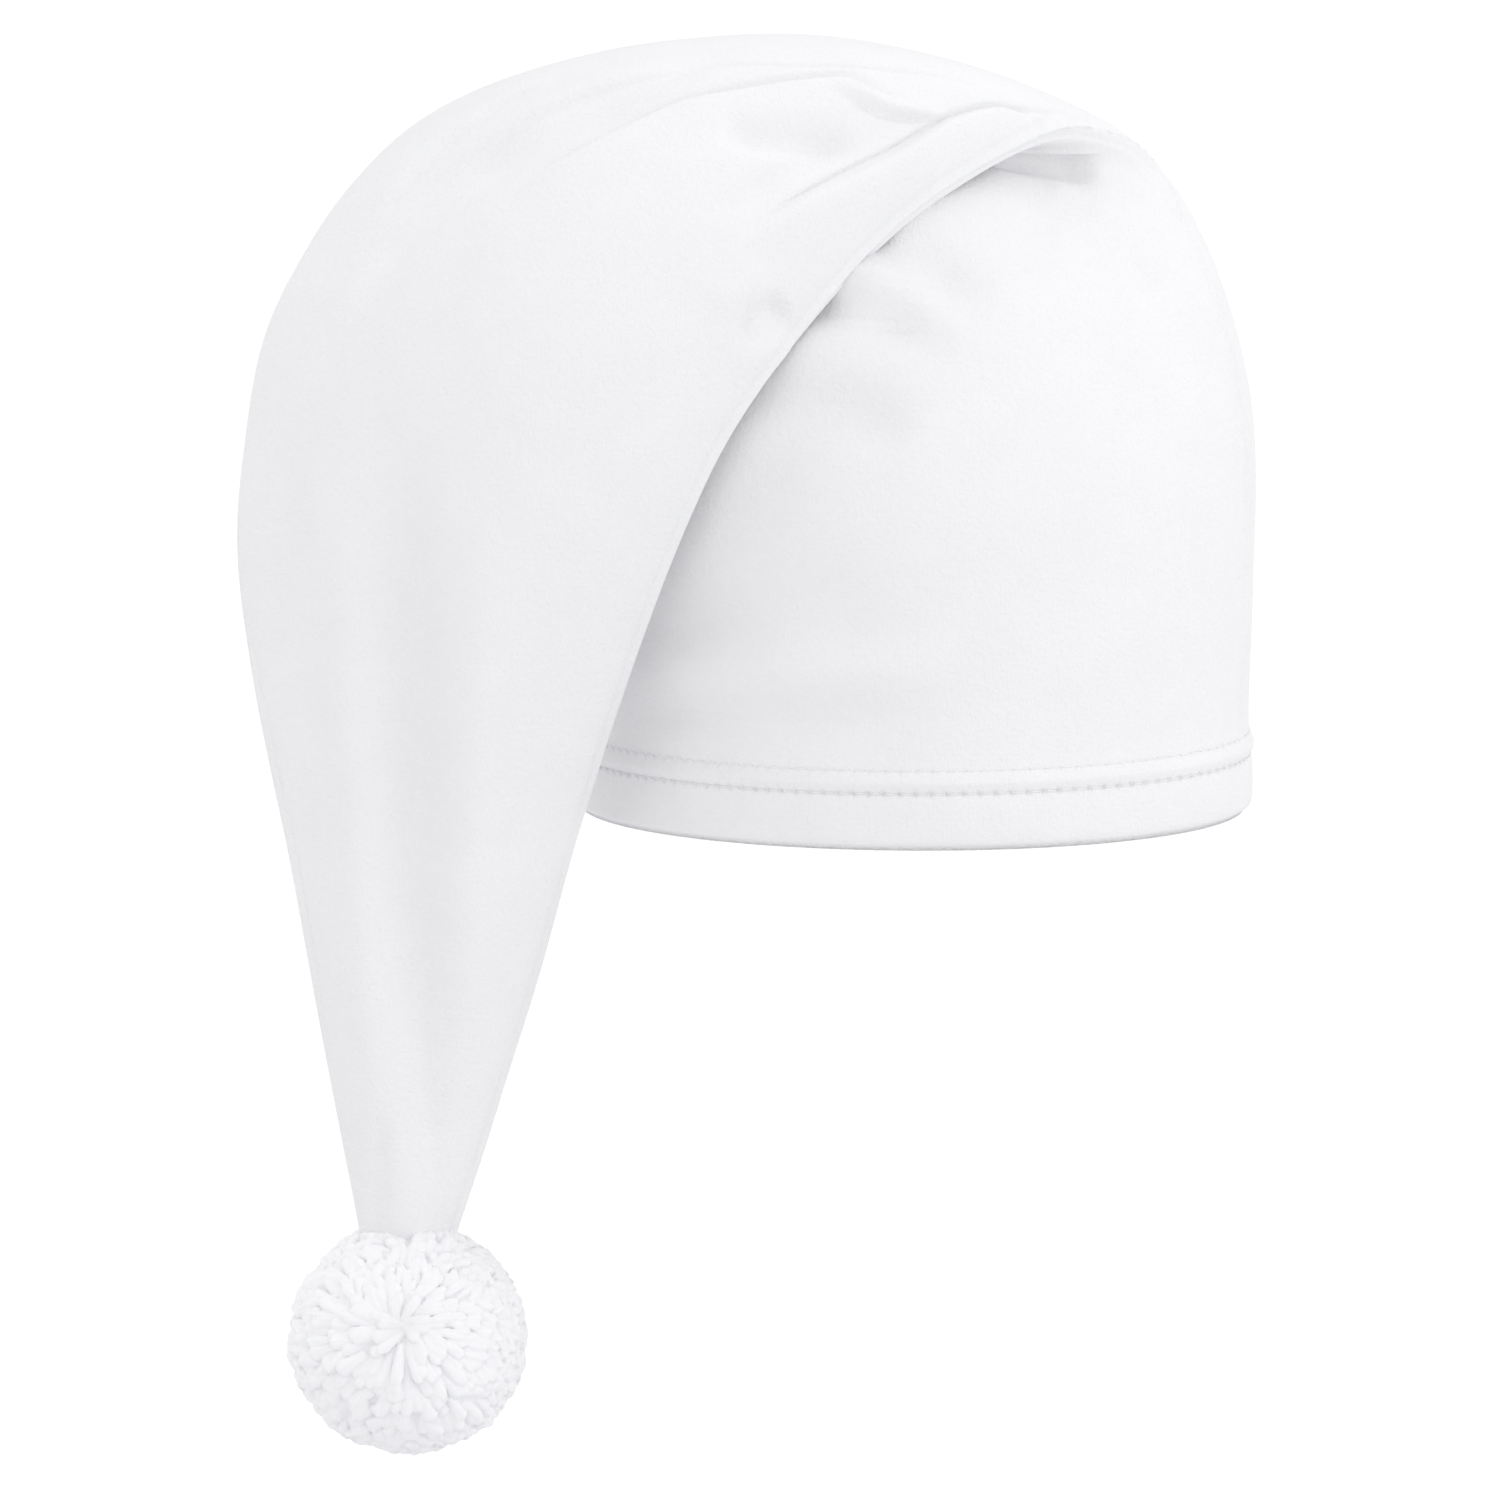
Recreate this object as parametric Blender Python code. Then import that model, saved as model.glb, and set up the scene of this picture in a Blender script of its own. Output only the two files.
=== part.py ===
"""A stocking nightcap of cotton jersey: a folded-over tail and a pompom of cut yarn.

The cap is in the shape that it has on a head. The origin is at the middle of the head opening, in
the plane of the lower edge, with +X towards the side seam, -Y towards the face and +Z up. Lengths
are in metres, and the tables are in millimetres.
"""

import math
import random

import bmesh
import bpy
from mathutils import Matrix, Vector

MM = 0.001
WALL = 1.4 * MM
GAP = 0.3 * MM
POINTS_AROUND = 48

# The tube that the cap is sewn from, a row for each section from the brim to the tip. seam is the
# sewn edge and far is the edge across from it. over and under are the middles of the two layers
# between them: on the crown the back and the front, on the tail the outer and the inner one.
# pinch is how flat the sewn edge is pressed, from 0, round, to 1, sharp.
SECTION_COLUMNS = (
    "place", "steps", "seam_x", "seam_y", "seam_z", "far_x", "far_y", "far_z",
    "over_y", "over_z", "under_y", "under_z", "pinch",
)
SECTIONS = (
    ("brim", 1, 87, -17.5, 2, -87, 17.5, 2, 90, 2, -90, 2, 0),
    ("in the band", 1, 87, -17.5, 12, -87, 17.5, 12, 90, 12, -90, 12, 0),
    ("top of the band", 2, 87, -17.5, 22, -87, 17.5, 22, 90, 22, -90, 22, 0),
    ("brow", 2, 89.5, -18, 55, -89, 16, 55, 92, 56, -92, 55, 0),
    ("temple", 2, 91, -18, 88, -90, 13, 90, 87, 92, -90, 87, 0),
    ("upper side", 2, 89, -17, 114, -92, 9, 120, 76, 124, -82, 115, 0),
    ("dome", 2, 82.5, -15, 138, -95, 4, 147, 58, 151, -69, 139, 0),
    ("below the crease", 2, 74.5, -12, 156, -102, -2, 167, 37, 172, -53, 157, 0.1),
    ("crease", 4, 67, -14, 166, -112, -9, 182, 10, 189, -43, 169, 0.2),
    ("top of the fold", 4, 58, -25, 174, -126, -18, 180, -20, 201, -45, 176, 0.25),
    ("head of the tail", 4, 42, -41, 178, -140, -27, 168, -52, 202, -54, 166, 0.3),
    ("over the brow", 4, 21, -56, 171, -153, -34, 151, -80, 188, -66, 149, 0.2),
    ("lifted edge", 2, -3, -70, 156, -163.5, -39, 128, -99, 165, -75, 128, 0),
    ("face of the tail", 2, -29, -80, 128, -169, -43, 102, -105, 133, -78, 101, 0.1),
    ("beside the crown", 2, -51, -82, 96, -171.5, -46, 72, -101, 95, -73, 72, 0.3),
    ("above the band", 2, -70, -71, 51, -168, -48, 38, -88, 49, -56, 41, 0.3),
    ("below the brim", 2, -87, -56, 2, -161, -50, -2, -74, 0, -38, 0, 0.3),
    ("hanging tail", 2, -103, -51, -49, -154, -50, -49, -66, -49, -36, -49, 0.3),
    ("neck", 2, -119, -50, -95, -146.5, -50, -95, -60, -95, -41, -95, 0.1),
    ("gathered tip", 0, -126, -50, -114, -144, -50, -114, -57, -114, -43, -114, 0),
)

# Where the gathers, folds and dents run, as seen from the front and 8 degrees above it: sideways and
# upwards, from a start past a bend to an end. Folds of the over layer are on the back and on the
# tail's face. Those of the under layer are on the crown's front. height is below 0 for a hollow.
SIGHT = math.radians(8)
FOLD_STEPS = 24
FOLD_COLUMNS = (
    "name", "layer", "start_x", "start_up", "bend_x", "bend_up", "end_x", "end_up", "width", "height",
)
FOLDS = (
    ("gather along the edge", "over", 50, 172, 14, 184, -42, 147, 4.5, 1.8),
    ("hollow beside it", "over", 40, 178, 0, 178, -52, 152, 5, -1.6),
    ("middle gather", "over", 8, 176, -45, 188, -96, 153, 5, -2.2),
    ("upper gather", "over", 30, 177, -10, 195, -82, 180, 4.5, -1.8),
    ("roll between them", "over", 20, 181, -40, 186, -90, 168, 5, 1.5),
    ("soft bend at the top", "over", -68, 192, -108, 180, -130, 152, 8, -1.4),
    ("dent over the brow", "over", -50, 169, -28, 174, -5, 167, 6, -1.8),
    ("outer fold of the tail", "over", -152, 100, -163, 0, -140, -108, 9, -3.0),
    ("middle ridge of the tail", "over", -141, 92, -139, 0, -128, -105, 10, 2.5),
    ("inner fold of the tail", "over", -130, 96, -108, -10, -124, -105, 8, -2.5),
    ("dent by the tail", "under", -12, 141, 5, 139, 22, 130, 6, -1.8),
    ("lower dent by the tail", "under", -24, 129, -12, 121, 4, 115, 6, -1.8),
    ("dent by the seam", "under", 46, 143, 64, 136, 80, 127, 7, -1.5),
    ("slack above the band", "under", -62, 50, 0, 44, 62, 47, 9, 1.4),
)

# The band around the brim, cut across: how far out from the middle of the body's wall, and how high.
# It holds the wall between two layers, and the two rows of stitches draw its outside in.
BAND_COLUMNS = ("place", "out", "height")
BAND = (
    ("upper lip", 1.0, 20.6),
    ("upper lip outside", 2.0, 20.8),
    ("upper stitches", 2.0, 19.0),
    ("ridge", 2.9, 16.2),
    ("lower stitches", 2.0, 13.4),
    ("swell", 2.6, 8.5),
    ("turn of the edge", 2.2, 1.2),
    ("lowest line", 0.4, 0.0),
    ("inner turn", -2.0, 1.2),
    ("inner layer", -2.2, 18.5),
    ("inner lip", -1.0, 18.5),
    ("floor inside", -1.0, 1.0),
    ("floor outside", 1.0, 1.0),
)

# The pompom hangs on the tail's tip.
POMPOM_CENTRE = Vector((-134, -50, -132)) * MM
POMPOM_RADIUS = 31.5 * MM
HEAD_RADIUS = 22 * MM
LOCKS = 50
LOCK_SIDES = 5
LOCK_SPREAD = 0.225  # a lock's radius against its distance from the pompom's centre
LOCK_ROOT = 0.42  # where a lock starts and where its blunt end starts, as shares of its length
LOCK_SHOULDER = 0.9
SEED = 7

COTTON_WHITE = (0.88, 0.88, 0.90, 1.0)
YARN_WHITE = (0.90, 0.90, 0.91, 1.0)


def clear_scene():
    for old in list(bpy.data.objects):
        bpy.data.objects.remove(old, do_unlink=True)


def fabric(name, color, roughness):
    """A matte cloth of one colour."""
    material = bpy.data.materials.new(name)
    material.use_nodes = True
    shader = material.node_tree.nodes["Principled BSDF"]
    shader.inputs["Base Color"].default_value = color
    shader.inputs["Roughness"].default_value = roughness
    shader.inputs["Metallic"].default_value = 0.0
    return material


def add_object(name, bm, material):
    """Turns a bmesh in world space into a smooth object, with one material or none."""
    mesh = bpy.data.meshes.new(name)
    bmesh.ops.recalc_face_normals(bm, faces=bm.faces)
    bm.to_mesh(mesh)
    bm.free()
    if material:
        mesh.materials.append(material)
    mesh.shade_smooth()
    mesh.set_sharp_from_angle(angle=math.radians(50))
    made = bpy.data.objects.new(name, mesh)
    bpy.context.scene.collection.objects.link(made)
    return made


def smooth_between(rows, index, share):
    """The row a share of the way from one row to the next, on a smooth curve through them all."""
    before = rows[max(index - 1, 0)]
    start = rows[index]
    end = rows[index + 1]
    after = rows[min(index + 2, len(rows) - 1)]
    found = []
    for a, b, c, d in zip(before, start, end, after):
        slope_in = (c - a) / 2
        slope_out = (d - b) / 2
        bend = (2 * share - 3) * share * share
        found.append(
            (1 + bend) * b
            - bend * c
            + share * (share - 1) ** 2 * slope_in
            + share * share * (share - 1) * slope_out
        )
    return found


def tube_sections():
    """Every section of the tube as a dictionary of its columns."""
    rows = [row[2:] for row in SECTIONS]
    names = SECTION_COLUMNS[2:]
    found = []
    for index, row in enumerate(SECTIONS[:-1]):
        steps = row[1]
        for step in range(steps):
            values = smooth_between(rows, index, step / steps)
            found.append(dict(zip(names, values)))
    found.append(dict(zip(names, rows[-1])))
    return found


def loop_point(section, angle):
    """A point of a section: angle 0 is the seam, 90 degrees the over layer, 180 the far edge."""
    seam = Vector((section["seam_x"], section["seam_y"], section["seam_z"])) * MM
    far = Vector((section["far_x"], section["far_y"], section["far_z"])) * MM
    middle = (seam + far) / 2
    over = Vector((middle.x, section["over_y"] * MM, section["over_z"] * MM))
    under = Vector((middle.x, section["under_y"] * MM, section["under_z"] * MM))
    half_width = (seam - far) / 2
    half_depth = (over - under) / 2
    bow = (over + under) / 2 - middle
    across = math.cos(angle)
    rise = math.sin(angle)
    pressed = 1 - section["pinch"] * max(across, 0) ** 2
    return middle + half_width * across + bow * rise * rise + half_depth * rise * pressed


def loop_points(section):
    turns = [2 * math.pi * step / POINTS_AROUND for step in range(POINTS_AROUND)]
    return [loop_point(section, turn) for turn in turns]


def join_rings(bm, rings):
    """Quads between each ring of points and the next."""
    for lower, upper in zip(rings, rings[1:]):
        for side, corner in enumerate(lower):
            after = (side + 1) % len(lower)
            bm.faces.new((corner, lower[after], upper[after], upper[side]))


def seen_from_front(point):
    """Where a point is in the front view that the folds are laid out in."""
    return Vector((point.x, point.z * math.cos(SIGHT) + point.y * math.sin(SIGHT)))


def fold_height(fold, spot):
    """How far a fold lifts the cloth at a spot of the front view, in metres."""
    start = Vector((fold["start_x"], fold["start_up"])) * MM
    bend = Vector((fold["bend_x"], fold["bend_up"])) * MM
    end = Vector((fold["end_x"], fold["end_up"])) * MM
    tries = []
    for step in range(FOLD_STEPS + 1):
        share = step / FOLD_STEPS
        line = start * (1 - share) ** 2 + bend * 2 * share * (1 - share) + end * share**2
        tries.append(((spot - line).length, share))
    distance, share = min(tries)
    fading = math.sqrt(max(math.sin(math.pi * share), 0))
    return fold["height"] * MM * fading * math.exp(-((distance / (fold["width"] * MM)) ** 2))


def shape_folds(rings, crease):
    """Moves the cloth along its normals: the outside past the crease, and the front below it."""
    folds = [dict(zip(FOLD_COLUMNS, row)) for row in FOLDS]
    moves = []
    for number, ring in enumerate(rings):
        for side, corner in enumerate(ring):
            layer = "over" if side <= POINTS_AROUND // 2 else "under"
            shows = number >= crease if layer == "over" else number < crease
            if not shows:
                continue
            spot = seen_from_front(corner.co)
            lift = sum(fold_height(fold, spot) for fold in folds if fold["layer"] == layer)
            moves.append((corner, corner.normal * lift))
    for corner, move in moves:
        corner.co += move


def build_cap_body(material):
    """The tube as one cloth wall, open at the brim and gathered shut at the tip."""
    bm = bmesh.new()
    rings = [[bm.verts.new(point) for point in loop_points(section)] for section in tube_sections()]
    join_rings(bm, rings)
    bm.faces.new(rings[-1])
    bmesh.ops.recalc_face_normals(bm, faces=bm.faces)
    bm.normal_update()
    places = [row[0] for row in SECTIONS]
    crease = sum(row[1] for row in SECTIONS[: places.index("crease")])
    shape_folds(rings, crease)
    body = add_object("cap_body", bm, material)
    wall = body.modifiers.new("wall", "SOLIDIFY")
    wall.thickness = WALL
    wall.offset = 0.0
    return body


def build_hem_band(material):
    """A strip folded over the brim: its section carried around the body's lower edge."""
    brim = loop_points(tube_sections()[0])
    rows = [dict(zip(BAND_COLUMNS, row)) for row in BAND]
    bm = bmesh.new()
    slices = []
    for side, point in enumerate(brim):
        along = brim[(side + 1) % len(brim)] - brim[side - 1]
        out = Vector((along.y, -along.x, 0)).normalized()
        if out.dot(point) < 0:
            out = -out
        foot = Vector((point.x, point.y, 0))
        slices.append(
            [bm.verts.new(foot + (out * row["out"] + Vector((0, 0, row["height"]))) * MM) for row in rows]
        )
    join_rings(bm, slices + slices[:1])
    return add_object("hem_band", bm, material)


def spread_directions(count):
    """Directions spread evenly over a ball, along a spiral from its top."""
    golden_turn = math.pi * (3 - math.sqrt(5))
    found = []
    for number in range(count):
        height = 1 - 2 * (number + 0.5) / count
        ring = math.sqrt(1 - height * height)
        turn = golden_turn * number
        found.append(Vector((ring * math.cos(turn), ring * math.sin(turn), height)))
    return found


def add_lock(bm, direction, length, spread, turn):
    """One lock of yarn: a cone that widens from inside the head to a blunt end."""
    root = LOCK_ROOT * length
    shoulder = LOCK_SHOULDER * length
    made = bmesh.ops.create_cone(
        bm,
        cap_ends=True,
        segments=LOCK_SIDES,
        radius1=spread * root,
        radius2=spread * shoulder,
        depth=shoulder - root,
    )
    middle = Vector((0, 0, (root + shoulder) / 2))
    bmesh.ops.translate(bm, verts=made["verts"], vec=middle)
    highest = max(made["verts"], key=lambda vert: vert.co.z)
    end = [face for face in highest.link_faces if len(face.verts) == LOCK_SIDES]
    poked = bmesh.ops.poke(bm, faces=end)
    for vert in poked["verts"]:
        vert.co.z = length
    verts = made["verts"] + poked["verts"]
    spin = Vector((0, 0, 1)).rotation_difference(direction).to_matrix()
    bmesh.ops.rotate(bm, verts=verts, cent=(0, 0, 0), matrix=Matrix.Rotation(turn, 3, "Z"))
    bmesh.ops.rotate(bm, verts=verts, cent=(0, 0, 0), matrix=spin)
    bmesh.ops.translate(bm, verts=verts, vec=POMPOM_CENTRE)


def add_helper(name, bm):
    """A mesh that another one is joined with or cut by, left out of the finished part."""
    helper = add_object(name, bm, None)
    helper.hide_render = True
    helper.display_type = "WIRE"
    return helper


def combine(target, helper, operation):
    change = target.modifiers.new(helper.name, "BOOLEAN")
    change.operation = operation
    change.object = helper
    change.solver = "EXACT"
    change.use_self = operation == "UNION"


def build_pompom(material):
    """A head with locks of yarn fused to it, and a socket around the tail's tip."""
    rng = random.Random(SEED)
    head = bmesh.new()
    bmesh.ops.create_icosphere(head, subdivisions=3, radius=HEAD_RADIUS)
    bmesh.ops.translate(head, verts=head.verts, vec=POMPOM_CENTRE)
    pompom = add_object("pompom", head, material)

    locks = bmesh.new()
    for direction in spread_directions(LOCKS):
        length = POMPOM_RADIUS * rng.uniform(0.96, 1.02)
        spread = LOCK_SPREAD * rng.uniform(0.92, 1.05)
        add_lock(locks, direction, length, spread, rng.uniform(0, math.pi))
    combine(pompom, add_helper("locks", locks), "UNION")

    socket = bmesh.new()
    rings = []
    room = WALL / 2 + GAP
    for section in tube_sections()[-3:]:
        points = loop_points(section)
        middle = sum(points, Vector()) / len(points)
        wider = [point + (point - middle).normalized() * room for point in points]
        rings.append([socket.verts.new(point) for point in wider])
    for corner in rings[-1]:
        corner.co.z -= room
    join_rings(socket, rings)
    socket.faces.new(rings[0])
    socket.faces.new(rings[-1])
    combine(pompom, add_helper("socket", socket), "DIFFERENCE")
    return pompom


clear_scene()
jersey = fabric("cotton_jersey", COTTON_WHITE, 0.95)
build_cap_body(jersey)
build_hem_band(jersey)
build_pompom(fabric("cut_yarn", YARN_WHITE, 1.0))
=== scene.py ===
"""A white stocking nightcap of cotton jersey, as it sits on a head, with a pompom of cut yarn."""

import math
import random

import bmesh
import bpy
import numpy as np
from mathutils import Matrix, Vector, noise


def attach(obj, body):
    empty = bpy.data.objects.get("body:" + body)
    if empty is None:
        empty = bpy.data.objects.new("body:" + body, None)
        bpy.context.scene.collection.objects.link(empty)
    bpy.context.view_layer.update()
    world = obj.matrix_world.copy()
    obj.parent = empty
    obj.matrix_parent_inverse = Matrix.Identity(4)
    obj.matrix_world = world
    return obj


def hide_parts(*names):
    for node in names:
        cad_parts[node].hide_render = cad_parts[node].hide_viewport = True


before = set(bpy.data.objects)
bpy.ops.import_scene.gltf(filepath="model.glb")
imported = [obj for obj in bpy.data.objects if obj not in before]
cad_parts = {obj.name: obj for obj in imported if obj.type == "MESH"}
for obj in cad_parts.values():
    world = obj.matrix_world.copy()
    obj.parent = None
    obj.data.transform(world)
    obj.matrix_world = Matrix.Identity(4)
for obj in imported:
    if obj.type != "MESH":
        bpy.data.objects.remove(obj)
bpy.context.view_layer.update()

# The cap's body: one tube of fine cotton jersey, cut with a taper and sewn along one edge. Its
# crown sits round on the head, and above the crease it folds over and hangs down as the tail.

MM = 0.001  # the lengths in this file are in millimetres
WALL = 1.4
OVER_COLUMNS = 140  # the mesh's columns on the over layer and the under layer
UNDER_COLUMNS = 92
SEAM_CROWDING = 0.35  # how much closer they are at the seam than on average
LINING_STEP = 4  # the inside has one row for so many of the outside's
TIP_DEPTH = 113.5  # between the outer and the inner layer of the closed tip

# A row for each section from the brim to the tip, in millimetres. seam is the sewn edge and far the
# edge across from it. over and under are the middles of the two layers between them: on the crown
# the back and the front, on the tail the outer and the inner one. pinch flattens the sewn edge.
SECTION_COLUMNS = (
    "place", "rings", "seam_x", "seam_y", "seam_z", "far_x", "far_y", "far_z",
    "over_y", "over_z", "under_y", "under_z", "pinch",
)
SECTIONS = (
    ("brim", 2, 87, -17.5, 2, -87, 17.5, 2, 90, 2, -90, 2, 0),
    ("in the band", 18, 87, -17.5, 12, -87, 17.5, 12, 90, 12, -90, 12, 0),
    ("top of the band", 6, 87, -17.5, 22, -87, 17.5, 22, 90, 22, -90, 22, 0),
    ("lower side", 6, 88, -17.7, 34, -87.8, 17, 34, 90.9, 34, -90.9, 34, 0),
    ("brow", 12, 89.5, -18, 55, -89, 16, 55, 92, 56, -92, 55, 0),
    ("temple", 10, 91, -18, 88, -90, 13, 90, 87, 92, -90, 87, 0),
    ("upper side", 10, 89, -17, 114, -92, 9, 120, 76, 124, -82, 115, 0),
    ("dome", 12, 82.5, -15, 138, -95, 4, 147, 58, 151, -69, 139, 0),
    ("below the crease", 16, 74.5, -12, 156, -102, -2, 167, 37, 172, -53, 157, 0.1),
    ("crease", 52, 67, -14, 166, -110.5, -9, 182, 10, 189, -43, 169, 0.2),
    ("top of the fold", 56, 58, -25, 174, -124, -18, 179, -20, 201, -45, 176, 0.25),
    ("head of the tail", 56, 42, -41, 178, -138, -27, 167, -52, 202, -54, 166, 0.3),
    ("over the brow", 48, 21, -56, 171, -151.5, -34, 150, -80, 188, -66, 149, 0.2),
    ("lifted edge", 24, -3, -70, 156, -163.5, -39, 128, -99, 165, -75, 128, 0),
    ("face of the tail", 18, -29, -80, 128, -169, -43, 102, -105, 133, -78, 101, 0.1),
    ("beside the crown", 14, -51, -82, 96, -171.5, -46, 72, -101, 95, -73, 72, 0.3),
    ("above the band", 12, -70, -71, 51, -168, -48, 38, -88, 49, -56, 41, 0.3),
    ("below the brim", 12, -87, -56, 2, -161, -50, -2, -74, 0, -38, 0, 0.3),
    ("hanging tail", 10, -103, -51, -49, -154, -50, -49, -66, -49, -36, -49, 0.3),
    ("neck", 6, -119, -50, -95, -146.5, -50, -95, -60, -95, -41, -95, 0.1),
    ("gathered tip", 0, -126, -50, -114, -144, -50, -114, -57, -114, -43, -114, 0),
)

# Where the photograph was taken from: its camera's distance from the cap, slope and roll.
CAMERA_DISTANCE = 2200
CAMERA_RISE = math.radians(7.2)
CAMERA_ROLL = math.radians(1.4)
OPENING_SPOT = (909, 799)  # where the photograph shows the middle of the head opening
PHOTO_SIDE = 1500
PIXEL = 0.264  # the size that a pixel of the photograph has there
OUTLINE_FACING = 0.12  # folds fade out where the cloth turns edge-on to the camera

# Where the cloth's gathers, folds and dents run in the photograph, from left to right or from top
# to bottom: how far right of the head opening's middle and how far above it they look there. Those
# of the over layer are on the tail, and those of the under layer on the crown's front. A round one
# is alike on both sides, and is a hollow where its height is below 0. A step rises sharply and is
# highest on the side that it names.
FOLD_COLUMNS = ("name", "layer", "shape", "width", "height", "line")
FOLDS = (
    ("outer tuck", "over", "step above", 6, 1.6,
     ((-149, 140), (-139, 155), (-127, 169), (-116, 177), (-106, 183), (-93, 188), (-76, 192.5))),
    ("hollow by the outer tuck", "over", "round", 6, -3.2,
     ((-149, 130), (-141, 142), (-132, 152), (-121, 163), (-109, 172), (-96, 180))),
    ("second tuck", "over", "step above", 6, 1.5,
     ((-124, 162), (-114, 171), (-100, 179.5), (-84, 186), (-68, 190), (-52, 192))),
    ("hollow by the second tuck", "over", "round", 5, -2.4,
     ((-119, 158), (-108, 167), (-95, 175), (-80, 181), (-64, 185))),
    ("long gather", "over", "step below", 6, 2.0,
     ((-68, 188), (-57, 190.5), (-46, 192), (-29, 192), (-8, 191), (11, 189), (25, 186))),
    ("short gather", "over", "step below", 5, 1.6,
     ((-50, 189), (-36, 190), (-20, 190.5), (-4, 189), (10, 185))),
    ("middle gather", "over", "step below", 7, 2.4,
     ((-104, 158), (-99, 164), (-88, 170), (-76, 176), (-59, 183), (-39, 186), (-23, 187.5),
      (-16, 187), (-5, 183), (5, 180))),
    ("small overlap", "over", "step above", 4, 2.4,
     ((-22, 186), (-13, 183), (-6, 181), (2, 180), (10, 180))),
    ("gather along the edge", "over", "step below", 13, 2.6,
     ((-46, 146), (-38, 152), (-29, 158), (-18, 164), (-4, 171), (6, 177), (13, 180), (22, 182),
      (29, 181), (45, 179), (57, 174))),
    ("hollow along the gather", "over", "round", 6, -2.6,
     ((-50, 151), (-42, 158), (-32, 165), (-20, 171), (-8, 176), (2, 181))),
    ("dent over the brow", "over", "round", 3.8, -4.4,
     ((-52, 177), (-44, 176), (-32, 175), (-20, 174), (-12, 173))),
    ("first pucker", "over", "round", 1.3, -0.6,
     ((25, 183), (30, 181), (33, 177), (34, 171))),
    ("second pucker", "over", "round", 1.3, -0.6,
     ((33, 183), (37, 179), (38, 175), (39, 169))),
    ("third pucker", "over", "round", 1.3, -0.6,
     ((40, 181), (43, 178), (44, 174), (45, 169))),
    ("fourth pucker", "over", "round", 1.3, -0.6,
     ((46, 180), (49, 177), (50, 173), (51, 169))),
    ("dimple by the edge", "over", "round", 4.5, -3.0,
     ((-43, 124), (-38, 127), (-32, 130))),
    ("swell above the dimple", "over", "round", 5, 0.8,
     ((-54, 131), (-45, 135), (-37, 140))),
    ("swell beside the dimple", "over", "round", 4, 0.6,
     ((-47, 114), (-39, 118), (-30, 122))),
    ("outer fold of the tail", "over", "round", 10, -3.0,
     ((-157, 110), (-161, 85), (-165, 42), (-161, 10), (-155, -27), (-149, -67), (-141, -114))),
    ("middle ridge of the tail", "over", "round", 7.5, 3.6,
     ((-151, 112), (-150, 88), (-150, 66), (-149.5, 39), (-147.5, 13), (-147, -13),
      (-145.5, -40), (-143.5, -66), (-141, -93), (-138, -116))),
    ("inner fold of the tail", "over", "round", 8.5, -6.2,
     ((-136, 114), (-134, 87), (-133, 66), (-132, 39), (-131, 13), (-131, -13), (-130, -40),
      (-129, -66), (-126.5, -93), (-125, -111))),
    ("left pleat of the neck", "over", "round", 3.0, -1.8,
     ((-139, -82), (-140, -105), (-140, -134))),
    ("right pleat of the neck", "over", "round", 3.5, -1.2,
     ((-126, -76), (-124, -104), (-123, -134))),
    ("inner swell of the tail", "over", "round", 8, 2.4,
     ((-109, 81), (-114, 38), (-115, 7), (-116, -29), (-114, -75))),
    ("dent by the tail", "under", "round", 5, -4.5,
     ((-15, 144), (-9, 143), (1, 140), (10, 136), (24, 129))),
    ("swell under the edge", "under", "round", 9, 4.0,
     ((-84, -13), (-77, 18), (-68, 44), (-56, 72), (-42, 100), (-16, 130), (-2, 144), (12, 154),
      (28, 160), (46, 162))),
    ("fill under the edge", "under", "round", 16, 5,
     ((-26, 122), (-16, 132), (-6, 142), (4, 150), (16, 156), (30, 160), (46, 160))),
    ("pocket", "under", "round", 4, -5,
     ((19, 166), (27, 167.5), (35, 168), (43, 167), (50, 165))),
    ("strip under the rim", "under", "round", 4, 1.2,
     ((35, 160), (45, 160), (56, 159))),
    ("swell by the tail", "under", "round", 4, 1.5,
     ((-25, 136), (-7, 133), (11, 128))),
    ("lower dent by the tail", "under", "round", 5, -5.0,
     ((-29, 131), (-22, 129), (-13, 127), (-2, 124), (14, 117))),
    ("long dent by the tail", "under", "round", 7, -4.0,
     ((-48, 107), (-36, 107), (-24, 105), (-10, 101), (4, 96))),
    ("dent by the seam", "under", "round", 5, -2.4,
     ((40, 147), (55, 144), (61, 140), (67, 135))),
    ("hollow above the band", "under", "round", 4.5, -2.6,
     ((-76, 23), (-64, 22), (-45, 21), (-25, 20), (7, 21))),
    ("hollow beside the tail", "under", "round", 12, -2.4,
     ((-76, 40), (-64, 46), (-48, 49), (-30, 49), (-12, 46), (8, 42))),
    ("slack above the band", "under", "round", 6, 2.4,
     ((-76, 36), (-62, 36), (-42, 35), (-15, 34), (20, 35))),
)

# The seam stands up as a thin ridge with a groove on each side. On the crown it runs a little in
# front of the widest place, and past the crease it is the tail's edge.
SEAM_RIDGE = 0.6
SEAM_WIDTH = 0.9
GROOVE_DEPTH = 0.35
GROOVE_PLACE = 2.6
GROOVE_WIDTH = 1.1
SEAM_TURN = math.radians(-15)
SEAM_TURN_RINGS = 18  # the rings below the crease on which the seam comes round to the tail's edge

# The body swells out over the band, which pulls it in, and no fold starts closer to the band.
SWELL_ABOVE_BAND = 1.75
SWELL_START = 15
SWELL_RISE = 4.6
SWELL_FADE = 14

# Soft waves that worn jersey keeps: how long they are, how high they stand, and over how many
# rings they come in past the brim and go out before the tip.
SLACK_LENGTH = 34
SLACK_HEIGHT = 0.35
SLACK_FREE_RINGS = 5
SLACK_BRIM_RINGS = 10
SLACK_TIP_RINGS = 12


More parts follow.
